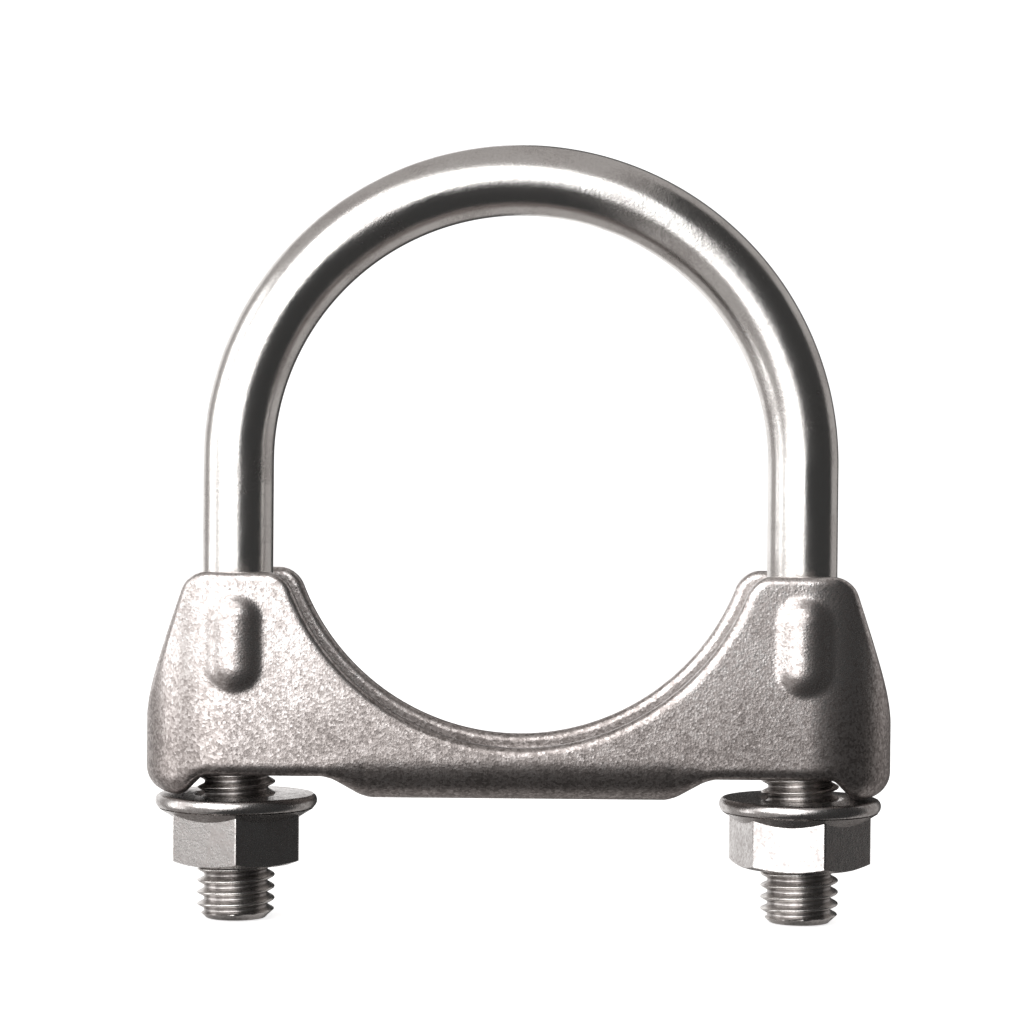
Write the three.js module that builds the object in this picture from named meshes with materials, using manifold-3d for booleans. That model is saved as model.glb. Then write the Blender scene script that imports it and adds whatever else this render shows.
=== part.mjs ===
// Exhaust clamp: a round rod bent into a U with a thread on each leg, a pressed sheet saddle
// that slides on the legs, and two flanged hexagon nuts under the saddle.
// Millimetres, +Z up towards the crown. X runs across the legs, Y along the clamped pipe.
// The origin is the centre of the bend, which is the axis of the pipe.

import * as THREE from 'three';
import { mergeVertices } from 'three/addons/utils/BufferGeometryUtils.js';
import Module from 'manifold-3d';

// ---- Driving dimensions ----

// Rod
const INSIDE_WIDTH = 63.5; // between the legs: the pipe's outside diameter, 2 1/2 in
const LEG_LENGTH = 58.7; // bend centre to leg tip
const THREAD_RADIUS = 5; // M10
const PITCH = 1.5;
const THREAD_LENGTH = 29; // tip to the end of the full thread
const TIP_CHAMFER = 1.1; // along the leg
const RUN_OUT = 2; // length over which the thread fades into the shank

// Nuts
const ACROSS_FLATS = 16;
const NUT_HEIGHT = 8.8;
const LEFT_TURN = THREE.MathUtils.degToRad(35); // first corner of the left nut's hexagon from +X
const RIGHT_TURN = THREE.MathUtils.degToRad(45); // the same on the right nut
const FLANGE_OVERHANG = 1.15; // flange rim beyond the hexagon's corners
const RIM_THICKNESS = 1.7;
const RIM_ROUND = 0.45;
const SKIRT_HEIGHT = 1.6; // cone from the rim down to the hexagon
const CORNER_CUT = 0.7; // height of the chamfer on the hexagon's free corners
const STUB_LENGTH = 7.1; // thread showing beyond each nut

// Saddle
const SHEET = 2.6;
const END_RADIUS = 11.5; // outside of the rounded ends, about each leg
const ARC_PINCH = 1.15; // how much tighter than the pipe the saddle's arc is
const ARC_FLOOR = 6.8; // bottom of the arc to the underside of the belly
const HORN_TOP = 8.85; // arc centre down to the flat tops of the horns
const HORN_SHOULDER = 25.5; // arc centre down to where the slanted outer edge ends
const HORN_REACH = 5.5; // leg axis out to the top corner of the slanted edge
const HORN_ROUND = 2.3; // rounded corners of the horn tops
const BELLY_INSET = 16.9; // leg axis in to the end of the belly
const SEAT_INSET = 12.35; // leg axis in to the start of the nut recess
const SEAT_REACH = 3.7; // leg axis out to the end of the nut recess
const LIP_REACH = 6.1; // leg axis out to the inner edge of the end lip
const SEAT_RISE = 3; // depth of the nut recess
const BOTTOM_ROUND = 4.2; // bend between the walls and the web
const RIB_WIDTH = 6;
const RIB_HEIGHT = 1.2; // how far the pressed ribs stand out of the walls
const RIB_TOP = 11.6; // arc centre down to the upper end of the ribs
const RIB_LENGTH = 12;
const RIB_INSET = 0.7; // leg axis in to the middle of each rib

// Clearances
const HOLE_CLEARANCE = 0.6; // leg hole in the saddle around the thread
const THREAD_CLEARANCE = 0.22; // nut thread around the leg thread
const SEAT_GAP = 0.3; // end lips above the nut flanges

// Facets
const ROUND_SIDES = 20; // rod, thread and bore
const RIM_SIDES = 36; // nut flange
const BEND_STEPS = 40;
const LEG_STEPS = 2;
const ARC_STEPS = 28;
const CORNER_STEPS = 4;
const RIB_SIDES = 16;
const RIB_CAP_STEPS = 4;
const BEVEL_STEPS = 3;

// ---- Derived sizes ----

const THREAD_DEPTH = 0.6134 * PITCH; // metric external thread
const SHANK_RADIUS = THREAD_RADIUS - 0.3248 * PITCH; // rolled thread: blank at the pitch diameter
const LEG_X = INSIDE_WIDTH / 2 + SHANK_RADIUS;
const CORNER_RADIUS = ACROSS_FLATS / Math.sqrt(3);
const FLANGE_RADIUS = CORNER_RADIUS + FLANGE_OVERHANG;
const NUT_TOP = STUB_LENGTH + NUT_HEIGHT - LEG_LENGTH;
const ARC_RADIUS = INSIDE_WIDTH / 2 - ARC_PINCH;
const SADDLE_FLOOR = -ARC_RADIUS - ARC_FLOOR; // from the arc centre
const SADDLE_Z = NUT_TOP + SEAT_GAP - SADDLE_FLOOR;
const WALL_OUTSIDE = LEG_X + END_RADIUS;
const BEYOND = 2; // how far a cutter runs past what it cuts
const FAN_REACH = 3 * PITCH; // how far past a thread's ends lie the points that close it
const SAME_POINT = 1e-5; // vertices closer than this are one

// ---- Solids ----

const wasm = await Module();
wasm.setup();

function solid(geometry) {
  const bare = geometry.clone();
  bare.deleteAttribute('normal');
  bare.deleteAttribute('uv');
  const merged = mergeVertices(bare, SAME_POINT);
  const mesh = new wasm.Mesh({
    numProp: 3,
    vertProperties: new Float32Array(merged.attributes.position.array),
    triVerts: new Uint32Array(merged.index.array),
  });
  return new wasm.Manifold(mesh);
}

function geometryOf(body) {
  const mesh = body.getMesh();
  const geometry = new THREE.BufferGeometry();
  geometry.setAttribute('position', new THREE.BufferAttribute(mesh.vertProperties, 3));
  geometry.setIndex(new THREE.BufferAttribute(mesh.triVerts, 1));
  const faceted = geometry.toNonIndexed();
  faceted.computeVertexNormals();
  return faceted;
}

// A profile of [radius, height] pairs turned about Z.
function turned(profile, sides) {
  const points = profile.map(([radius, height]) => new THREE.Vector2(radius, height));
  return new THREE.LatheGeometry(points, sides).rotateX(Math.PI / 2);
}

// A shape drawn in X and Z, made into a plate centred on Y.
function plate(shape, depth) {
  const geometry = new THREE.ExtrudeGeometry(shape, { depth, bevelEnabled: false });
  return geometry.translate(0, 0, -depth / 2).rotateX(Math.PI / 2);
}

// Lines to a corner and turns it with an arc towards the next point.
function roundCorner(path, before, corner, after, radius) {
  const back = before.clone().sub(corner).normalize();
  const ahead = after.clone().sub(corner).normalize();
  const half = back.angleTo(ahead) / 2;
  const start = corner.clone().addScaledVector(back, radius / Math.tan(half));
  const end = corner.clone().addScaledVector(ahead, radius / Math.tan(half));
  const centre = corner.clone().addScaledVector(back.add(ahead).normalize(), radius / Math.sin(half));
  const from = start.clone().sub(centre).angle();
  const to = end.clone().sub(centre).angle();
  path.lineTo(start.x, start.y);
  path.absarc(centre.x, centre.y, radius, from, to, false);
}

// ---- Thread ----

// Axial place and radius of the four corners of one turn of thread, root first.
function threadTurn(clearance) {
  const crest = PITCH / 8;
  const root = PITCH / 4;
  const flank = (PITCH - crest - root) / 2;
  const outer = THREAD_RADIUS + clearance;
  const inner = THREAD_RADIUS - THREAD_DEPTH + clearance;
  return [[0, inner], [root, inner], [root + flank, outer], [root + flank + crest, outer]];
}

// A right-hand thread as one closed skin. Each column of vertices climbs by a pitch per turn,
// so the last column meets the first one turn higher up, and a fan closes each end.
function threadGeometry(clearance, bottom, top) {
  const turn = threadTurn(clearance);
  const corners = turn.length;
  const rows = corners * Math.ceil((top - bottom) / PITCH + 1) + 1;
  const vertices = [];
  for (let side = 0; side < ROUND_SIDES; side++) {
    const angle = 2 * Math.PI * side / ROUND_SIDES;
    for (let row = 0; row < rows; row++) {
      const [along, radius] = turn[row % corners];
      const z = bottom + along + PITCH * (Math.floor(row / corners) - 1 + side / ROUND_SIDES);
      vertices.push(radius * Math.cos(angle), radius * Math.sin(angle), z);
    }
  }
  const at = (side, row) => side < ROUND_SIDES ? side * rows + row : row + corners;
  const foot = ROUND_SIDES * rows;
  const head = foot + 1;
  vertices.push(0, 0, bottom - FAN_REACH);
  vertices.push(0, 0, top + FAN_REACH);

  const faces = [];
  for (let side = 0; side < ROUND_SIDES; side++) {
    const shared = side === ROUND_SIDES - 1 ? rows - corners : rows;
    for (let row = 0; row < shared - 1; row++) {
      faces.push(at(side, row), at(side + 1, row), at(side + 1, row + 1));
      faces.push(at(side, row), at(side + 1, row + 1), at(side, row + 1));
    }
    faces.push(foot, at(side + 1, 0), at(side, 0));
    faces.push(head, at(side, shared - 1), at(side + 1, shared - 1));
  }
  for (let row = 0; row < corners; row++) {
    faces.push(foot, at(0, row), at(0, row + 1));
    const last = rows - 1 - row;
    faces.push(head, at(ROUND_SIDES - 1, last), at(ROUND_SIDES - 1, last - 1));
  }
  const geometry = new THREE.BufferGeometry();
  geometry.setAttribute('position', new THREE.Float32BufferAttribute(vertices, 3));
  geometry.setIndex(faces);
  return geometry;
}

// ---- U-bolt ----

// Down one leg, round the bend and down the other. Its parameter counts steps, not length,
// so that the straight legs take few steps and the bend takes many.
class RodPath extends THREE.Curve {
  constructor(straight) {
    super();
    this.straight = straight;
  }

  getPoint(t, target = new THREE.Vector3()) {
    const step = t * (BEND_STEPS + 2 * LEG_STEPS);
    const angle = Math.PI * THREE.MathUtils.clamp((step - LEG_STEPS) / BEND_STEPS, 0, 1);
    const before = Math.max(0, 1 - step / LEG_STEPS);
    const after = Math.max(0, (step - LEG_STEPS - BEND_STEPS) / LEG_STEPS);
    const drop = this.straight * (before + after);
    return target.set(-LEG_X * Math.cos(angle), 0, LEG_X * Math.sin(angle) - drop);
  }

  getPointAt(t, target) {
    return this.getPoint(t, target);
  }

  getTangentAt(t, target) {
    return this.getTangent(t, target);
  }
}

function rodSolid() {
  const section = new THREE.Shape().absarc(0, 0, SHANK_RADIUS, 0, 2 * Math.PI);
  return solid(new THREE.ExtrudeGeometry(section, {
    steps: BEND_STEPS + 2 * LEG_STEPS,
    curveSegments: ROUND_SIDES / 2,
    extrudePath: new RodPath(LEG_LENGTH - THREAD_LENGTH),
  }));
}

// One threaded leg end about the Z axis, with its tip at height 0.
function legThread() {
  const length = THREAD_LENGTH + RUN_OUT;
  const barrel = THREAD_RADIUS + THREAD_CLEARANCE;
  const core = THREAD_RADIUS - THREAD_DEPTH;
  const envelope = turned([
    [0, 0],
    [core, 0],
    [barrel, TIP_CHAMFER],
    [barrel, THREAD_LENGTH - RUN_OUT],
    [core, length],
    [0, length],
  ], ROUND_SIDES);
  return solid(threadGeometry(0, 0, length)).intersect(solid(envelope));
}

function uBolt() {
  const end = legThread();
  const tip = -LEG_LENGTH;
  return rodSolid().add(end.translate(-LEG_X, 0, tip)).add(end.translate(LEG_X, 0, tip));
}

// ---- Nut ----

// About the leg axis, with the bearing face of the flange at height 0 and the hexagon below.
function nut(turn) {
  const hexagon = new THREE.Shape();
  for (let corner = 0; corner < 6; corner++) {
    const angle = turn + corner * Math.PI / 3;
    const step = corner ? 'lineTo' : 'moveTo';
    hexagon[step](CORNER_RADIUS * Math.cos(angle), CORNER_RADIUS * Math.sin(angle));
  }
  const bar = new THREE.ExtrudeGeometry(hexagon, { depth: NUT_HEIGHT - RIM_ROUND, bevelEnabled: false });
  const turning = turned([
    [0, -NUT_HEIGHT],
    [ACROSS_FLATS / 2 - RIM_ROUND, -NUT_HEIGHT],
    [CORNER_RADIUS, CORNER_CUT - NUT_HEIGHT],
    [CORNER_RADIUS + BEYOND, CORNER_CUT - NUT_HEIGHT + BEYOND],
    [CORNER_RADIUS + BEYOND, 0],
    [0, 0],
  ], RIM_SIDES);
  const body = solid(bar.translate(0, 0, -NUT_HEIGHT)).intersect(solid(turning));

  const flange = turned([
    [0, -RIM_THICKNESS - SKIRT_HEIGHT],
    [ACROSS_FLATS / 2 - RIM_ROUND, -RIM_THICKNESS - SKIRT_HEIGHT],
    [FLANGE_RADIUS - RIM_ROUND, -RIM_THICKNESS],
    [FLANGE_RADIUS, RIM_ROUND - RIM_THICKNESS],
    [FLANGE_RADIUS, -RIM_ROUND],
    [FLANGE_RADIUS - RIM_ROUND, 0],
    [0, 0],
  ], RIM_SIDES);

  // The bore carries on the helix of the leg, whose tip is its starting place.
  const tip = -LEG_LENGTH - NUT_TOP;
  const turnsBelow = Math.floor((-NUT_HEIGHT - BEYOND - tip) / PITCH);
  const bore = threadGeometry(THREAD_CLEARANCE, tip + turnsBelow * PITCH, BEYOND);
  const mouth = THREAD_RADIUS + THREAD_CLEARANCE;
  const countersink = turned([
    [0, -mouth],
    [mouth + BEYOND, BEYOND],
    [0, BEYOND],
  ], ROUND_SIDES);
  return body
    .add(solid(flange))
    .subtract(solid(bore))
    .subtract(solid(countersink))
    .subtract(solid(countersink.clone().rotateX(Math.PI).translate(0, 0, -NUT_HEIGHT)));
}

// ---- Saddle ----

// Long outline with a half circle about each leg, seen from above.
function stadium(radius) {
  return new THREE.Shape()
    .absarc(LEG_X, 0, radius, -Math.PI / 2, Math.PI / 2)
    .absarc(-LEG_X, 0, radius, Math.PI / 2, 3 * Math.PI / 2);
}

function stadiumBlock(radius, round) {
  const geometry = new THREE.ExtrudeGeometry(stadium(radius), {
    depth: -HORN_TOP - SADDLE_FLOOR,
    curveSegments: ROUND_SIDES / 2,
    bevelThickness: round,
    bevelSize: round,
    bevelOffset: -round,
    bevelSegments: BEVEL_STEPS,
  });
  return solid(geometry.translate(0, 0, SADDLE_FLOOR + round));
}

// Right half of the front view, from the middle of the underside round to the arc's bottom.
function halfOutline() {
  const shoulder = new THREE.Vector2(WALL_OUTSIDE, -HORN_SHOULDER);
  const outer = new THREE.Vector2(LEG_X + HORN_REACH, -HORN_TOP);
  const centre = new THREE.Vector2(0, -HORN_TOP - HORN_ROUND);
  centre.x = Math.sqrt((ARC_RADIUS + HORN_ROUND) ** 2 - centre.y ** 2);
  const inner = new THREE.Vector2(centre.x, -HORN_TOP);
  const path = new THREE.Path();
  path.moveTo(0, SADDLE_FLOOR);
  path.lineTo(LEG_X - BELLY_INSET, SADDLE_FLOOR);
  path.lineTo(LEG_X - SEAT_INSET, SADDLE_FLOOR + SEAT_RISE);
  path.lineTo(LEG_X + SEAT_REACH, SADDLE_FLOOR + SEAT_RISE);
  path.lineTo(LEG_X + LIP_REACH, SADDLE_FLOOR);
  path.lineTo(WALL_OUTSIDE, SADDLE_FLOOR);
  path.lineTo(shoulder.x, shoulder.y);
  roundCorner(path, shoulder, outer, inner, HORN_ROUND);
  path.absarc(centre.x, centre.y, HORN_ROUND, Math.PI / 2, Math.PI + centre.angle(), false);
  const points = path.getPoints(CORNER_STEPS);
  const start = centre.angle();
  const sweep = new THREE.EllipseCurve(0, 0, ARC_RADIUS, ARC_RADIUS, start, 3 * Math.PI / 2, true);
  return points.concat(sweep.getPoints(ARC_STEPS / 2).slice(1));
}

function frontOutline() {
  const right = halfOutline();
  const left = right.slice(1, -1).reverse().map((point) => new THREE.Vector2(-point.x, point.y));
  return new THREE.Shape(right.concat(left));
}

// Everything above the web, which follows the underside at one sheet thickness.
function hollowOutline() {
  const slope = Math.atan2(SEAT_RISE, BELLY_INSET - SEAT_INSET);
  const shift = SHEET * Math.tan(slope / 2);
  const floor = SADDLE_FLOOR + SHEET;
  const belly = LEG_X - BELLY_INSET - shift;
  const seat = LEG_X - SEAT_INSET - shift;
  const shape = new THREE.Shape();
  shape.moveTo(-belly, floor);
  shape.lineTo(belly, floor);
  shape.lineTo(seat, floor + SEAT_RISE);
  shape.lineTo(WALL_OUTSIDE, floor + SEAT_RISE);
  shape.lineTo(WALL_OUTSIDE, BEYOND);
  shape.lineTo(-WALL_OUTSIDE, BEYOND);
  shape.lineTo(-WALL_OUTSIDE, floor + SEAT_RISE);
  shape.lineTo(-seat, floor + SEAT_RISE);
  return shape;
}

// Upright round-ended rods whose outer sides bulge out of the walls, four in all.
function ribs(inset) {
  const radius = (RIB_WIDTH ** 2 / 4 + RIB_HEIGHT ** 2) / (2 * RIB_HEIGHT);
  const half = RIB_WIDTH / 2;
  const rod = new THREE.CapsuleGeometry(radius - inset, RIB_LENGTH - 2 * half, RIB_CAP_STEPS, RIB_SIDES);
  const upright = solid(rod.rotateX(Math.PI / 2));
  const x = LEG_X - RIB_INSET;
  const y = END_RADIUS + RIB_HEIGHT - radius;
  const z = -RIB_TOP - RIB_LENGTH / 2;
  const places = [[x, y], [x, -y], [-x, y], [-x, -y]];
  return wasm.Manifold.union(places.map(([px, py]) => upright.translate(px, py, z)));
}

function saddle() {
  const depth = 2 * (END_RADIUS + RIB_HEIGHT + BEYOND);
  const hollow = solid(plate(hollowOutline(), depth))
    .intersect(stadiumBlock(END_RADIUS - SHEET, BOTTOM_ROUND / 2).translate(0, 0, SHEET));
  const hole = solid(turned([
    [0, SADDLE_FLOOR - BEYOND],
    [THREAD_RADIUS + HOLE_CLEARANCE, SADDLE_FLOOR - BEYOND],
    [THREAD_RADIUS + HOLE_CLEARANCE, 0],
    [0, 0],
  ], ROUND_SIDES));
  return stadiumBlock(END_RADIUS, BOTTOM_ROUND)
    .intersect(solid(plate(frontOutline(), depth)))
    .add(ribs(0))
    .subtract(hollow)
    .subtract(ribs(SHEET))
    .subtract(hole.translate(LEG_X, 0, 0))
    .subtract(hole.translate(-LEG_X, 0, 0));
}

// ---- Assembly ----

function zincPlate(color, roughness) {
  return new THREE.MeshStandardMaterial({ color, roughness, metalness: 1 });
}

function part(name, body, material, x, z) {
  const mesh = new THREE.Mesh(geometryOf(body), material);
  mesh.name = name;
  mesh.position.set(x, 0, z);
  return mesh;
}

const brightZinc = zincPlate(0xc4c1bd, 0.25);
const grainyZinc = zincPlate(0xa39c98, 0.5);
const clamp = new THREE.Group();
clamp.add(part('u_bolt', uBolt(), brightZinc, 0, 0));
clamp.add(part('saddle', saddle(), grainyZinc, 0, SADDLE_Z));
clamp.add(part('nut_left', nut(LEFT_TURN), brightZinc, -LEG_X, NUT_TOP));
clamp.add(part('nut_right', nut(RIGHT_TURN), brightZinc, LEG_X, NUT_TOP));

export default clamp;
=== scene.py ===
"""Looks of a U-bolt exhaust clamp: zinc-plated rod, pressed saddle and two flanged nuts.

Sizes are in millimetres until a mesh is made. X runs across the legs, +Y is away from the camera
and +Z points to the crown of the U. The origin is the centre of the bend.
"""

import math

import bmesh
import bpy
import numpy as np
from mathutils import Matrix, Vector


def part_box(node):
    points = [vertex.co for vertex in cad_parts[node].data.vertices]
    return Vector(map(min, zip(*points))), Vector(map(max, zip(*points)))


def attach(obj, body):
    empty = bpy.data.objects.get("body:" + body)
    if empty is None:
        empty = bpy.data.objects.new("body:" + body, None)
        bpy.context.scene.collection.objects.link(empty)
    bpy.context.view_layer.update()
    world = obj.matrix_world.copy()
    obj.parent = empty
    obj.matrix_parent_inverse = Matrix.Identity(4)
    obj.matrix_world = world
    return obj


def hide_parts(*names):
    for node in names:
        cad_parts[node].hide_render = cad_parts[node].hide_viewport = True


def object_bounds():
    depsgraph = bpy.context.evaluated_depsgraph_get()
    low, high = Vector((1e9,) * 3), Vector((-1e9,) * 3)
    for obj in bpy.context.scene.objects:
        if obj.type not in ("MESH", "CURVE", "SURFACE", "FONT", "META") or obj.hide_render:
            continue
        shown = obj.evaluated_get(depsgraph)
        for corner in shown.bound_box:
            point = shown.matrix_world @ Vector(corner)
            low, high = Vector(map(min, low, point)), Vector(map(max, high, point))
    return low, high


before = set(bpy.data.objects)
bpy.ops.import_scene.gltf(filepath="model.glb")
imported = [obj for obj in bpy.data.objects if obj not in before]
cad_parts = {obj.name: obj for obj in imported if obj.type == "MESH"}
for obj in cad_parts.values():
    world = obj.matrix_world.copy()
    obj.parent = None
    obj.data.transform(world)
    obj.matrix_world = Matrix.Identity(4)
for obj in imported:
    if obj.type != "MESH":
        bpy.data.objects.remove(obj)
cad_low, cad_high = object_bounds()

MM = 0.001


def box_mm(node):
    """Lowest and highest corner of a node's box, in millimetres."""
    low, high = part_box(node)
    return np.array(low) / MM, np.array(high) / MM


# ---- Sizes read from the frame ----

rod_low, rod_high = box_mm("u_bolt")
saddle_low, saddle_high = box_mm("saddle")
nut_low, nut_high = box_mm("nut_right")

THREAD_RADIUS = rod_high[1]
LEG_X = rod_high[0] - THREAD_RADIUS
SHANK_RADIUS = rod_high[2] - LEG_X
TIP_Z = rod_low[2]
BELLY_Z = saddle_low[2]
NUT_TOP = nut_high[2]
NUT_HEIGHT = nut_high[2] - nut_low[2]
FLANGE_RADIUS = nut_high[1]
END_RADIUS = saddle_high[0] - LEG_X

# ---- Sizes of the thread, in millimetres ----

PITCH = 1.5
THREAD_DEPTH = 0.6134 * PITCH
THREAD_ROOT = THREAD_RADIUS - THREAD_DEPTH
THREAD_CLEARANCE = 0.22
THREAD_LENGTH = 29.0
RUN_OUT = 2.0
TIP_CHAMFER = 1.1
TIP_INSET = 0.25

# ---- Sizes of the nut, in millimetres ----

ACROSS_FLATS = 16.0
CORNER_ROUND = 0.3
LEFT_TURN = math.radians(35)
RIGHT_TURN = math.radians(45)
FACE_INSET = 0.45
CORNER_CUT = 0.7
SKIRT_HEIGHT = 1.6
RIM_THICKNESS = 1.7
RIM_FOOT = FLANGE_RADIUS - 0.3
MOUTH_RADIUS = THREAD_RADIUS + 0.55
EASED = 0.06

# ---- Sizes of the saddle, in millimetres ----

ARC_RADIUS = 30.6
ARC_FLOOR = 6.8
SADDLE_FLOOR = -ARC_RADIUS - ARC_FLOOR
SADDLE_Z = BELLY_Z - SADDLE_FLOOR
HORN_TOP = -(saddle_high[2] - SADDLE_Z)
HORN_SHOULDER = 25.5
HORN_REACH = 5.5
HORN_ROUND = 2.3
SHEET = 2.6
SHEET_ROUND = 0.9
SEAT_RISE = 3.0
SEAT_START = 12.35
SEAT_END = 3.7
BELLY_END = 16.9
LIP_START = 6.1
SLOPE_ROUND = 0.9
BELLY_BEND = 5.5
SEAT_BEND = 1.6
LIP_BEND = 3.4
RIB_WIDTH = 6.0
RIB_HEIGHT = saddle_high[1] - END_RADIUS
RIB_TOP = 11.6
RIB_LENGTH = 12.0
RIB_INSET = 0.7
RIB_FILLET = 0.5
HOLE_RADIUS = THREAD_RADIUS + 0.6
HOLE_ROUND = 0.35

# ---- Camera and stage, in metres ----

CAMERA_DISTANCE = 0.39
VIEW_WIDTH = 0.1316
CAMERA_AIM = (-0.0011, 0, -0.0063)
CAMERA_ROLL = math.radians(0.5)
SENSOR_WIDTH_MM = 36
CARD_RADIUS = 2.0
FLOOR_RADIUS = 2.6
SURROUND_RADIUS = 2.7
FLOOR_GAP = 0.0002
ROOM_COLOR = (0.43, 0.41, 0.40, 1)

# Edge shared by the key light and the front dark card, in degrees from +X towards +Z.
KEY_TILT = 64


# ---- Camera ----


def make_camera():
    data = bpy.data.cameras.new("camera")
    camera = bpy.data.objects.new("camera", data)
    bpy.context.collection.objects.link(camera)
    data.sensor_width = SENSOR_WIDTH_MM
    data.lens = SENSOR_WIDTH_MM * CAMERA_DISTANCE / VIEW_WIDTH
    data.clip_start = 0.01
    data.clip_end = 20
    eye = Vector((0, -CAMERA_DISTANCE, 0))
    look = (Vector(CAMERA_AIM) - eye).to_track_quat("-Z", "Y").to_matrix().to_4x4()
    camera.matrix_world = Matrix.Translation(eye) @ look @ Matrix.Rotation(CAMERA_ROLL, 4, "Z")
    bpy.context.scene.camera = camera


# ---- Mesh helpers ----


def mesh_object(name, points, faces):
    """Makes a smooth-shaded object from points in millimetres."""
    mesh = bpy.data.meshes.new(name)
    mesh.from_pydata((np.asarray(points) * MM).tolist(), [], faces)
    mesh.validate()
    mesh.shade_smooth()
    made = bpy.data.objects.new(name, mesh)
    bpy.context.collection.objects.link(made)
    return made


def close_rings(made, sharp):
    """Joins points that lie on each other, as at a pole, and marks edges past that many degrees."""
    work = bmesh.new()
    work.from_mesh(made.data)
    bmesh.ops.remove_doubles(work, verts=work.verts, dist=1e-7)
    bmesh.ops.dissolve_degenerate(work, edges=work.edges, dist=1e-8)
    bmesh.ops.recalc_face_normals(work, faces=work.faces)
    work.to_mesh(made.data)
    work.free()
    made.data.shade_smooth()
    made.data.set_sharp_from_angle(angle=math.radians(sharp))


def ring_faces(rows, columns, closed_rows=False):
    """Quads between successive rings of points, each ring closed on itself."""
    last = rows if closed_rows else rows - 1
    row, column = np.meshgrid(np.arange(last), np.arange(columns), indexing="ij")
    above = (row + 1) % rows
    beside = (column + 1) % columns
    quads = [row * columns + column, row * columns + beside,
             above * columns + beside, above * columns + column]
    return np.stack([q.ravel() for q in quads], axis=1).tolist()


# ---- Thread ----


def thread_radius(turns, clearance=0.0):
    """Radius of the rolled thread at a place counted in turns, with rounded crest and root."""
    root_end, crest_start, crest_end = 0.25, 0.5625, 0.6875
    corners = [0, root_end, crest_start, crest_end, 1]
    rounding = 0.055
    offsets = np.linspace(-rounding, rounding, 7)
    depth = np.mean([np.interp((turns + o) % 1, corners, [1, 1, 0, 0, 1]) for o in offsets], axis=0)
    return THREAD_RADIUS + clearance - THREAD_DEPTH * depth


# ---- Rod ----


def leg_rows():
    """Heights above the tip of the rings on one leg, tip first."""
    thread_step = 0.085
    plain_rings = 24
    threaded = np.arange(0, THREAD_LENGTH + RUN_OUT, thread_step)
    plain = np.linspace(THREAD_LENGTH + RUN_OUT, -TIP_Z, plain_rings)[:-1]
    return np.concatenate([threaded, plain])


def leg_radius(height, angle):
    """Radius of the leg at a height above its tip: thread, run-out into the shank, chamfered tip."""
    radius = thread_radius(height / PITCH - angle / (2 * math.pi))
    fade = np.clip((THREAD_LENGTH + RUN_OUT / 2 - height) / RUN_OUT, 0, 1)
    radius = SHANK_RADIUS + (radius - SHANK_RADIUS) * fade
    cone = THREAD_ROOT - TIP_INSET + height * (THREAD_DEPTH + TIP_INSET) / TIP_CHAMFER
    return np.minimum(radius, cone)


def make_rod():
    """Rings up the left leg, round the bend and down the right leg."""
    columns = 96
    bend_rings = 161
    around = 2 * math.pi * np.arange(columns) / columns
    rings = []
    for side in (-1, 1):
        rows = []
        for height in leg_rows():
            radius = leg_radius(height, around)
            x = side * LEG_X + radius * np.cos(around)
            y = radius * np.sin(around)
            rows.append(np.stack([x, y, np.full(columns, TIP_Z + height)], axis=1))
        centre = np.tile([side * LEG_X, 0, TIP_Z], (columns, 1))
        end_face = [centre + (rows[0] - centre) * share for share in (0, 0.55, 0.97)]
        rows = end_face + rows
        rings.append(rows)
    bend = []
    for angle in np.linspace(0, math.pi, bend_rings):
        # At the left leg the ring lies as on the leg; it then turns about Y with the bend.
        out = np.array([-math.cos(angle), 0, math.sin(angle)])
        centre = LEG_X * out
        x = np.cos(around)[:, None] * -out * SHANK_RADIUS
        y = np.sin(around)[:, None] * np.array([0, 1, 0]) * SHANK_RADIUS
        bend.append(centre + x + y)
    # The right leg's rings run the other way round, so they are turned to match the bend's.
    right = [ring[(columns // 2 - np.arange(columns)) % columns] for ring in rings[1]]
    rows = rings[0] + bend + right[::-1]
    made = mesh_object("rod", np.concatenate(rows), ring_faces(len(rows), columns))
    close_rings(made, sharp=50)
    return made


# ---- Nuts ----


def hexagon_outline(first):
    """Points round the hexagon, which has slightly rounded corners, counted from its first corner."""
    points = []
    flat = ACROSS_FLATS / 2
    for corner in range(6):
        angle = first + corner * math.pi / 3
        centre = (flat - CORNER_ROUND) / math.cos(math.pi / 6)
        middle = centre * np.array([math.cos(angle), math.sin(angle)])
        for turn in np.linspace(-math.pi / 6, math.pi / 6, 7):
            direction = np.array([math.cos(angle + turn), math.sin(angle + turn)])
            points.append(middle + CORNER_ROUND * direction)
        start = points[-1]
        turned = angle + math.pi / 3
        end = (centre * np.array([math.cos(turned), math.sin(turned)])
               + CORNER_ROUND * np.array([math.cos(turned - math.pi / 6), math.sin(turned - math.pi / 6)]))
        for share in (0.015, 0.06, 0.15, 0.3, 0.5, 0.7, 0.85, 0.94, 0.985):
            points.append(start + (end - start) * share)
    return np.array(points)


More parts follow.
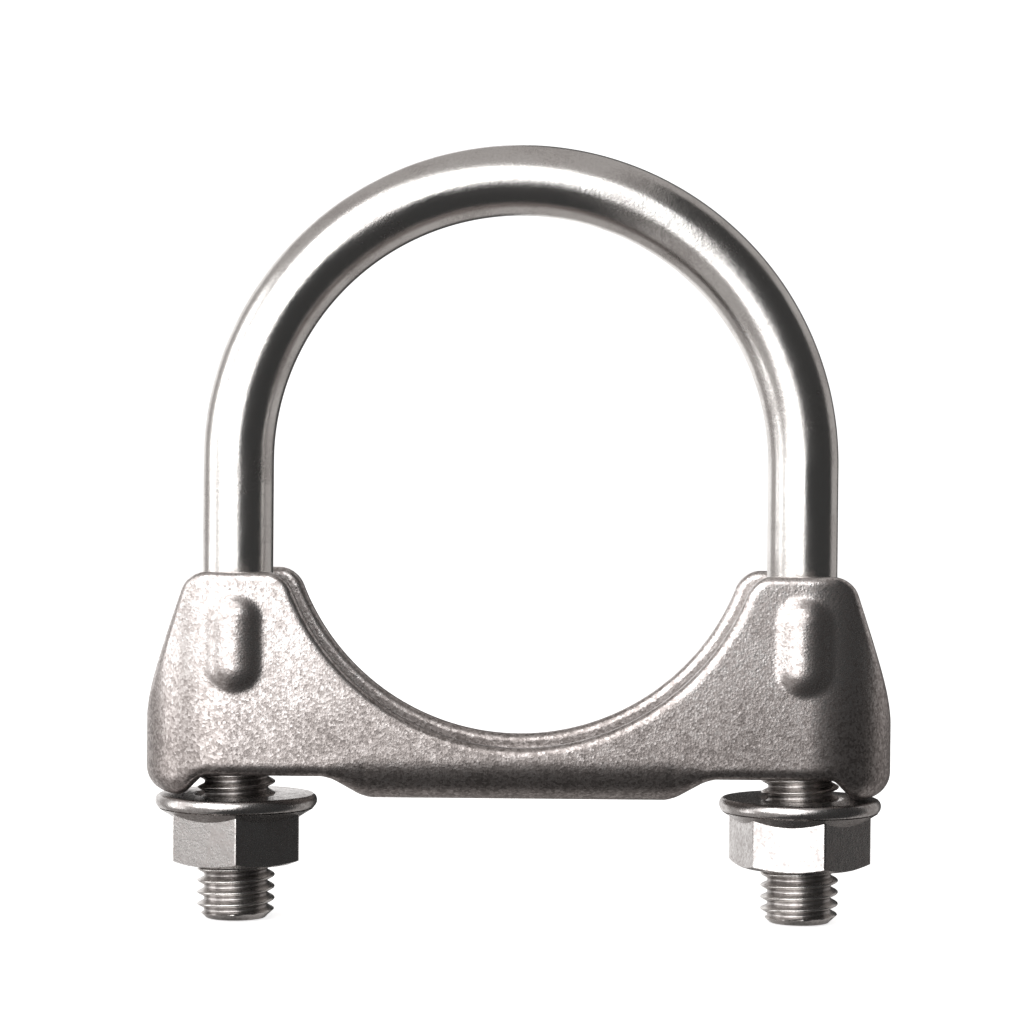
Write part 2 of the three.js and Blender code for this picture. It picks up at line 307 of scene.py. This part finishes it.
def make_nut(name, side, first):
    """Rings from the free end up the outside to the flange, then down the threaded bore.

    On the hexagon each ring follows the curve where the chamfer or the flange's skirt meets it.
    """
    outline = hexagon_outline(first)
    columns = len(outline)
    reach = np.linalg.norm(outline, axis=1)
    direction = outline / reach[:, None]
    angle = np.arctan2(direction[:, 1], direction[:, 0])
    floor = NUT_TOP - NUT_HEIGHT
    rows = []

    def ring(radius, height):
        spread = direction * np.broadcast_to(radius, columns)[:, None]
        level = np.broadcast_to(floor + height, columns)
        rows.append(np.column_stack([side * LEG_X + spread[:, 0], spread[:, 1], level]))

    face = ACROSS_FLATS / 2 - FACE_INSET
    ring(MOUTH_RADIUS, EASED)
    ring(MOUTH_RADIUS + EASED, 0)
    ring(face - EASED, 0)
    ring(face, EASED / 3)
    widest = ACROSS_FLATS / math.sqrt(3)
    chamfer_end = CORNER_CUT * (reach - face) / (widest - face)
    skirt_foot = NUT_HEIGHT - RIM_THICKNESS - SKIRT_HEIGHT
    skirt_start = skirt_foot + SKIRT_HEIGHT * (reach - face) / (RIM_FOOT - face)
    for share in (0.25, 0.5, 0.75, 0.93):
        ring(face + (reach - face) * share, chamfer_end * share)
    for share in (0, 0.03, 0.15, 0.35, 0.6, 0.85, 0.97, 1):
        ring(reach, chamfer_end + (skirt_start - chamfer_end) * share)
    for share in (0.06, 0.2, 0.4, 0.6, 0.8, 0.94):
        height = skirt_start + (skirt_foot + SKIRT_HEIGHT - skirt_start) * share
        ring(reach + (RIM_FOOT - reach) * share, height)
    half = RIM_THICKNESS / 2
    rim_bulge = 0.6
    for turn in np.linspace(-math.pi / 2, math.pi / 2, 15):
        height = NUT_HEIGHT - half + half * math.sin(turn)
        ring(FLANGE_RADIUS - rim_bulge + rim_bulge * math.cos(turn), height)
    ring(FLANGE_RADIUS - 0.8, NUT_HEIGHT)
    ring(MOUTH_RADIUS + EASED, NUT_HEIGHT)
    ring(MOUTH_RADIUS, NUT_HEIGHT - EASED)
    bore_step = 0.1
    countersink = 0.5
    for height in np.arange(NUT_HEIGHT - bore_step, bore_step, -bore_step):
        turns = (floor + height - TIP_Z) / PITCH - angle / (2 * math.pi)
        sink = THREAD_RADIUS + countersink - min(height, NUT_HEIGHT - height)
        ring(np.maximum(thread_radius(turns, THREAD_CLEARANCE), sink), height)
    made = mesh_object(name, np.concatenate(rows), ring_faces(len(rows), columns, closed_rows=True))
    close_rings(made, sharp=28)
    return made


# ---- Saddle ----


def round_max(a, b, radius):
    """Distance to the overlap of two solids, its edge rounded to that radius."""
    corner = np.hypot(np.maximum(a + radius, 0), np.maximum(b + radius, 0))
    return corner - radius + np.minimum(np.maximum(a, b) + radius, 0)


def smooth_min(a, b, width):
    """Distance to two solids joined with a soft fillet."""
    blend = np.clip(0.5 + 0.5 * (b - a) / width, 0, 1)
    return b + (a - b) * blend - width * blend * (1 - blend)


def underside(x):
    """Height of the pressing's underside and the bend radius of its edge, across the legs."""
    places = LEG_X + np.array([-BELLY_END, -SEAT_START, SEAT_END, LIP_START])
    rise = [0, SEAT_RISE, SEAT_RISE, 0]
    offsets = np.linspace(-SLOPE_ROUND, SLOPE_ROUND, 5)
    height = SADDLE_FLOOR + np.mean([np.interp(x + o, places, rise) for o in offsets], axis=0)
    bend = np.interp(x, places, [BELLY_BEND, SEAT_BEND, SEAT_BEND, LIP_BEND])
    return height, bend


def saddle_distance(points):
    """Signed distance to the pressed sheet, in millimetres, from the centre of its arc."""
    x = np.abs(points[..., 0])
    y = np.abs(points[..., 1])
    z = points[..., 2]
    plan = np.hypot(np.maximum(x - LEG_X, 0), y) - END_RADIUS
    height, bend = underside(x)
    tub = round_max(plan, height - z, bend)

    rib_radius = (RIB_WIDTH ** 2 / 4 + RIB_HEIGHT ** 2) / (2 * RIB_HEIGHT)
    low = -RIB_TOP - RIB_LENGTH + RIB_WIDTH / 2
    high = -RIB_TOP - RIB_WIDTH / 2
    along = z - np.clip(z, low, high)
    across = y - (END_RADIUS + RIB_HEIGHT - rib_radius)
    rib = np.sqrt((x - LEG_X + RIB_INSET) ** 2 + across ** 2 + along ** 2) - rib_radius
    skin = smooth_min(tub, rib, RIB_FILLET)
    sheet = np.abs(skin + SHEET / 2) - SHEET / 2

    slant = np.array([HORN_SHOULDER - HORN_TOP, END_RADIUS - HORN_REACH])
    slant = slant / np.linalg.norm(slant)
    outer = (x - LEG_X - HORN_REACH) * slant[0] + (z + HORN_TOP) * slant[1]
    top = z + HORN_TOP
    profile = round_max(ARC_RADIUS - np.hypot(x, z), top, HORN_ROUND)
    profile = round_max(profile, outer, HORN_ROUND)
    cut = round_max(sheet, profile, SHEET_ROUND)
    return round_max(cut, HOLE_RADIUS - np.hypot(x - LEG_X, y), HOLE_ROUND)


def surface_net(values, low, step):
    """Points and quads of the zero surface of a grid of distances."""
    inside = values < 0
    cells = tuple(n - 1 for n in values.shape)
    total = np.zeros(cells + (3,), np.float32)
    count = np.zeros(cells, np.float32)
    for axis in range(3):
        a = np.take(values, range(cells[axis]), axis)
        b = np.take(values, range(1, cells[axis] + 1), axis)
        crossed = (a < 0) != (b < 0)
        share = np.where(crossed, a / np.where(crossed, a - b, 1), 0)
        others = [o for o in range(3) if o != axis]
        for first in (0, 1):
            for second in (0, 1):
                pick = [slice(None)] * 3
                pick[others[0]] = slice(first, first + cells[others[0]])
                pick[others[1]] = slice(second, second + cells[others[1]])
                hit = crossed[tuple(pick)]
                count += hit
                total[..., axis] += share[tuple(pick)]
                total[..., others[0]] += hit * first
                total[..., others[1]] += hit * second
    used = count > 0
    number = np.full(cells, -1)
    number[used] = np.arange(used.sum())
    points = low + step * (np.argwhere(used) + total[used] / count[used][:, None])

    quads = []
    for axis in range(3):
        others = [(axis + 1) % 3, (axis + 2) % 3]
        a = np.moveaxis(inside, [axis] + others, [0, 1, 2])
        n = np.moveaxis(number, [axis] + others, [0, 1, 2])
        start, end = a[:-1, 1:-1, 1:-1], a[1:, 1:-1, 1:-1]
        corners = np.stack([n[:, :-1, :-1], n[:, 1:, :-1], n[:, 1:, 1:], n[:, :-1, 1:]], axis=-1)
        leaving = start & ~end
        entering = ~start & end
        quads.append(corners[leaving])
        quads.append(corners[entering][:, ::-1])
    return points, np.concatenate(quads)


def settle(points, distance, rounds=3):
    """Moves points onto the zero surface along its gradient."""
    reach = 0.02
    longest_move = 0.15
    for _ in range(rounds):
        here = distance(points)
        slope = np.stack([(distance(points + reach * e) - distance(points - reach * e)) / (2 * reach)
                          for e in np.eye(3)], axis=1)
        steep = np.maximum((slope ** 2).sum(axis=1), 0.25)
        move = -slope * (here / steep)[:, None]
        length = np.linalg.norm(move, axis=1, keepdims=True)
        points = points + move * np.minimum(1, longest_move / np.maximum(length, 1e-9))
    return points


def make_saddle():
    """The zero surface of saddle_distance, found on a grid and settled onto the exact shape."""
    step = 0.32
    margin = 2.5 * step
    low = saddle_low - [0, 0, SADDLE_Z] - margin
    high = saddle_high - [0, 0, SADDLE_Z] + margin
    axes = [np.arange(a, b, step) for a, b in zip(low, high)]
    grid = np.stack(np.meshgrid(*axes, indexing="ij"), axis=-1)
    points, quads = surface_net(saddle_distance(grid).astype(np.float32), low, step)
    points = settle(points, saddle_distance)
    return mesh_object("saddle_pressing", points + [0, 0, SADDLE_Z], quads.tolist())


# ---- Materials ----


class Nodes:
    """A short way to build a material's nodes."""

    def __init__(self, name):
        self.material = bpy.data.materials.new(name)
        self.material.use_nodes = True
        self.tree = self.material.node_tree
        self.shader = self.tree.nodes["Principled BSDF"]
        self.place = self.tree.nodes.new("ShaderNodeTexCoord").outputs["Object"]

    def link(self, source, target):
        self.tree.links.new(source, target)

    def noise(self, size, detail, rough=0.55):
        """Noise whose features are that many millimetres across."""
        node = self.tree.nodes.new("ShaderNodeTexNoise")
        node.inputs["Scale"].default_value = 1 / (size * MM)
        node.inputs["Detail"].default_value = detail
        node.inputs["Roughness"].default_value = rough
        self.link(self.place, node.inputs["Vector"])
        return node.outputs["Fac"]

    def cells(self, size):
        """Irregular cells that many millimetres across: the distance in each, and a random shade."""
        node = self.tree.nodes.new("ShaderNodeTexVoronoi")
        node.inputs["Scale"].default_value = 1 / (size * MM)
        self.link(self.place, node.inputs["Vector"])
        shade = self.tree.nodes.new("ShaderNodeSeparateColor")
        self.link(node.outputs["Color"], shade.inputs["Color"])
        return node.outputs["Distance"], shade.outputs["Red"]

    def height(self):
        """Height in the row frame, in millimetres."""
        node = self.tree.nodes.new("ShaderNodeSeparateXYZ")
        self.link(self.place, node.inputs["Vector"])
        return self.math("DIVIDE", node.outputs["Z"], MM)

    def leg_distance(self):
        """Distance from the axis of the nearer leg, in millimetres."""
        node = self.tree.nodes.new("ShaderNodeSeparateXYZ")
        self.link(self.place, node.inputs["Vector"])
        across = self.math("SUBTRACT", self.math("ABSOLUTE", node.outputs["X"], 0), LEG_X * MM)
        squares = [self.math("MULTIPLY", s, s) for s in (across, node.outputs["Y"])]
        return self.math("DIVIDE", self.math("SQRT", self.math("ADD", *squares), 0), MM)

    def range(self, value, low, high, to_low, to_high):
        """The value carried over from one range to another, and held at its ends."""
        node = self.tree.nodes.new("ShaderNodeMapRange")
        for key, number in zip(("From Min", "From Max", "To Min", "To Max"), (low, high, to_low, to_high)):
            node.inputs[key].default_value = number
        self.link(value, node.inputs["Value"])
        return node.outputs["Result"]

    def math(self, kind, first, second):
        node = self.tree.nodes.new("ShaderNodeMath")
        node.operation = kind
        for socket, value in zip(node.inputs, (first, second)):
            if isinstance(value, (int, float)):
                socket.default_value = value
            else:
                self.link(value, socket)
        return node.outputs["Value"]

    def ramp(self, value, stops):
        node = self.tree.nodes.new("ShaderNodeValToRGB")
        elements = node.color_ramp.elements
        while len(elements) < len(stops):
            elements.new(0.5)
        for element, (place, color) in zip(elements, stops):
            element.position = place
            element.color = (*color, 1)
        self.link(value, node.inputs["Fac"])
        return node.outputs["Color"]

    def bump(self, height, distance, normal=None):
        """Bump of that depth in millimetres."""
        node = self.tree.nodes.new("ShaderNodeBump")
        node.inputs["Strength"].default_value = 1
        node.inputs["Distance"].default_value = distance * MM
        self.link(height, node.inputs["Height"])
        if normal is not None:
            self.link(normal, node.inputs["Normal"])
        return node.outputs["Normal"]


def rod_zinc():
    """Bright zinc over drawn rod: fine grain, faint waves, and painted shade over the threads, darkest in the
    thread roots, which also leaves them rougher.
    """
    n = Nodes("rod_zinc")
    n.shader.inputs["Metallic"].default_value = 1
    patch = n.noise(6, detail=4)
    grain = n.noise(0.35, detail=4, rough=0.7)
    mixed = n.math("ADD", n.math("MULTIPLY", patch, 0.6), n.math("MULTIPLY", grain, 0.4))
    # Painted shade: the threaded length is darkened, most in the roots of the thread, fading out over the
    # run-out; the same drop in mixed also makes it rougher.
    thread_top = TIP_Z + THREAD_LENGTH - 0.3
    thread = n.range(n.height(), thread_top, thread_top + RUN_OUT, 1, 0)
    root = n.range(n.leg_distance(), THREAD_ROOT + 0.07, THREAD_RADIUS - 0.15, 0.24, 0.05)
    mixed = n.math("SUBTRACT", mixed, n.math("MULTIPLY", thread, root))
    color = n.ramp(mixed, [(0.15, (0.20, 0.185, 0.18)), (0.36, (0.55, 0.525, 0.51)),
                           (0.5, (0.74, 0.72, 0.70)), (0.7, (0.84, 0.83, 0.81))])
    n.link(color, n.shader.inputs["Base Color"])
    n.link(n.range(mixed, 0.15, 0.7, 0.38, 0.13), n.shader.inputs["Roughness"])
    fine = n.bump(grain, 0.016)
    wavy = n.bump(n.noise(1.6, detail=2), 0.02, fine)
    n.link(wavy, n.shader.inputs["Normal"])
    return n.material


def pressing_zinc():
    """Dull zinc over pressed sheet: a sandy, sparkling grain with a warm cast, and painted shade darkening it
    lower down.
    """
    n = Nodes("pressing_zinc")
    n.shader.inputs["Metallic"].default_value = 1
    patch = n.noise(8, detail=4)
    mottle = n.noise(1.1, detail=2)
    pit, shade = n.cells(0.32)
    speck = n.noise(0.22, detail=2, rough=0.6)
    mixed = n.math("ADD", n.math("MULTIPLY", shade, 0.28), n.math("MULTIPLY", speck, 0.27))
    mixed = n.math("ADD", mixed, n.math("MULTIPLY", mottle, 0.2))
    mixed = n.math("ADD", mixed, n.math("MULTIPLY", patch, 0.25))
    # Painted shade: darkened from 18.5 mm above the belly, most at 5.5 mm above it and below; the same drop
    # in mixed also makes it rougher.
    mixed = n.math("SUBTRACT", mixed, n.range(n.height(), BELLY_Z + 18.5, BELLY_Z + 5.5, 0, 0.2))
    color = n.ramp(mixed, [(0.2, (0.24, 0.215, 0.205)), (0.34, (0.40, 0.362, 0.348)),
                           (0.5, (0.59, 0.55, 0.535)), (0.66, (0.78, 0.75, 0.735))])
    n.link(color, n.shader.inputs["Base Color"])
    n.link(n.range(mixed, 0.34, 0.66, 0.42, 0.27), n.shader.inputs["Roughness"])
    coarse = n.bump(pit, 0.014)
    fine = n.bump(speck, 0.012, coarse)
    n.link(n.bump(mottle, 0.018, fine), n.shader.inputs["Normal"])
    return n.material


def nut_zinc():
    """Bright zinc over a forged nut: fine sandy grain, soft waves and duller patches."""
    n = Nodes("nut_zinc")
    n.shader.inputs["Metallic"].default_value = 1
    patch = n.noise(3.5, detail=4)
    pit, shade = n.cells(0.3)
    wave = n.noise(1.5, detail=2)
    mixed = n.math("ADD", n.math("MULTIPLY", patch, 0.65), n.math("MULTIPLY", shade, 0.35))
    color = n.ramp(mixed, [(0.3, (0.42, 0.39, 0.38)), (0.5, (0.53, 0.51, 0.50)), (0.7, (0.64, 0.625, 0.615))])
    n.link(color, n.shader.inputs["Base Color"])
    n.link(n.range(mixed, 0.3, 0.7, 0.34, 0.22), n.shader.inputs["Roughness"])
    n.link(n.bump(wave, 0.02, n.bump(pit, 0.006)), n.shader.inputs["Normal"])
    return n.material


# ---- Stage ----


def painted(name, grey, glow):
    """A matt grey paint that also glows white."""
    material = bpy.data.materials.new(name)
    material.use_nodes = True
    shader = material.node_tree.nodes["Principled BSDF"]
    shader.inputs["Base Color"].default_value = (grey, grey, grey, 1)
    shader.inputs["Roughness"].default_value = 1
    shader.inputs["Specular IOR Level"].default_value = 0
    shader.inputs["Emission Color"].default_value = (1, 1, 1, 1)
    shader.inputs["Emission Strength"].default_value = glow
    return material


def disc(name, radius, height, material):
    """A flat disc about the Z axis, in metres."""
    sides = 96
    around = np.linspace(0, 2 * math.pi, sides, endpoint=False)
    rim = np.stack([radius * np.cos(around), radius * np.sin(around), np.full(sides, height)], axis=1)
    made = mesh_object(name, rim / MM, [list(range(sides))])
    made.data.materials.append(material)
    return made


def dark_card(name, facing, first, last, widest, material):
    """Part of a sphere round the object, seen only in the metal.

    It spreads from the Y axis, on the side that facing gives (-1 is the camera's side), out to the
    widest angle. It fills the turn between two angles in the XZ plane, from +X towards +Z.
    """
    steps = 32
    out = np.radians(np.linspace(1.5, widest, steps))
    turn = np.radians(np.linspace(first, last, steps))
    out, turn = np.meshgrid(out, turn, indexing="ij")
    spread = [np.sin(out) * np.cos(turn), facing * np.cos(out), np.sin(out) * np.sin(turn)]
    row, column = np.meshgrid(np.arange(steps - 1), np.arange(steps - 1), indexing="ij")
    corner = (row * steps + column).ravel()
    faces = np.stack([corner, corner + 1, corner + steps + 1, corner + steps], axis=1).tolist()
    made = mesh_object(name, CARD_RADIUS * np.stack(spread, axis=-1).reshape(-1, 3) / MM, faces)
    made.data.materials.append(material)
    return made


def only_reflected(piece):
    piece.visible_camera = False
    piece.visible_diffuse = False
    piece.visible_shadow = False
    piece.visible_transmission = False


def make_stage():
    """A pale floor at the leg tips, a white surround, and dark cards seen only in the metal."""
    floor = disc("floor", FLOOR_RADIUS, cad_low[2] - FLOOR_GAP, painted("floor_paint", grey=0.8, glow=0.75))
    floor.visible_glossy = False
    bpy.ops.mesh.primitive_uv_sphere_add(segments=64, ring_count=32, radius=SURROUND_RADIUS)
    surround = bpy.context.object
    surround.name = "surround"
    surround.data.materials.append(painted("surround_paint", grey=0, glow=1.15))
    surround.visible_glossy = False
    surround.visible_diffuse = False
    surround.visible_shadow = False
    black = painted("card_black", grey=0.01, glow=0.035)
    front = dark_card("dark_card_front", -1, KEY_TILT - 180, KEY_TILT, widest=102, material=black)
    back = dark_card("dark_card_back", 1, -90, 90, widest=36, material=black)
    only_reflected(front)
    only_reflected(back)


def soft_light(name, place, edge, width, height, radiance):
    """Rectangular light at a place in metres, facing the origin, its height along the edge."""
    data = bpy.data.lights.new(name, "AREA")
    data.shape = "RECTANGLE"
    data.size = width
    data.size_y = height
    data.energy = radiance * math.pi * width * height
    light = bpy.data.objects.new(name, data)
    bpy.context.collection.objects.link(light)
    axis = Vector(place).normalized()
    upright = (Vector(edge) - axis * axis.dot(Vector(edge))).normalized()
    axes = Matrix((upright.cross(axis), upright, axis)).transposed()
    light.matrix_world = Matrix.Translation(place) @ axes.to_4x4()
    light.visible_camera = False


def make_lights():
    """A large soft key at the upper left, its near edge at the camera; a narrow light straight from
    the left; a weak fill from behind; and an even grey room."""
    tilt = math.radians(KEY_TILT)
    edge = Vector((math.cos(tilt), 0, math.sin(tilt)))
    away = Vector((-math.sin(tilt), 0, math.cos(tilt)))
    width, height, along_edge = 1.3, 1.2, 0.1
    out = math.atan(width / 2)
    place = Vector((0, -math.cos(out), 0)) + away * math.sin(out) + edge * along_edge
    soft_light("key", place, edge, width, height, radiance=3.0)
    up = (0, 0, 1)
    soft_light("left_wing", (-1, -0.03, 0.05), up, width=0.5, height=1.2, radiance=2.0)
    soft_light("back_fill", (-0.39, 0.92, 0), up, width=0.85, height=1.1, radiance=0.7)
    world = bpy.data.worlds.new("room")
    bpy.context.scene.world = world
    world.use_nodes = True
    world.node_tree.nodes["Background"].inputs["Color"].default_value = ROOM_COLOR
    bpy.context.scene.view_settings.view_transform = "Standard"


# ---- Scene ----

make_camera()
make_stage()
make_lights()
nut_material = nut_zinc()
for piece, node, slot, material in (
    (make_rod(), "u_bolt", "rod", rod_zinc()),
    (make_saddle(), "saddle", "pressing", pressing_zinc()),
    (make_nut("left_flange_nut", -1, LEFT_TURN), "nut_left", "nut", nut_material),
    (make_nut("right_flange_nut", 1, RIGHT_TURN), "nut_right", "nut", nut_material),
):
    piece.data.materials.append(material)
    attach(piece, node)
    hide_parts(node)
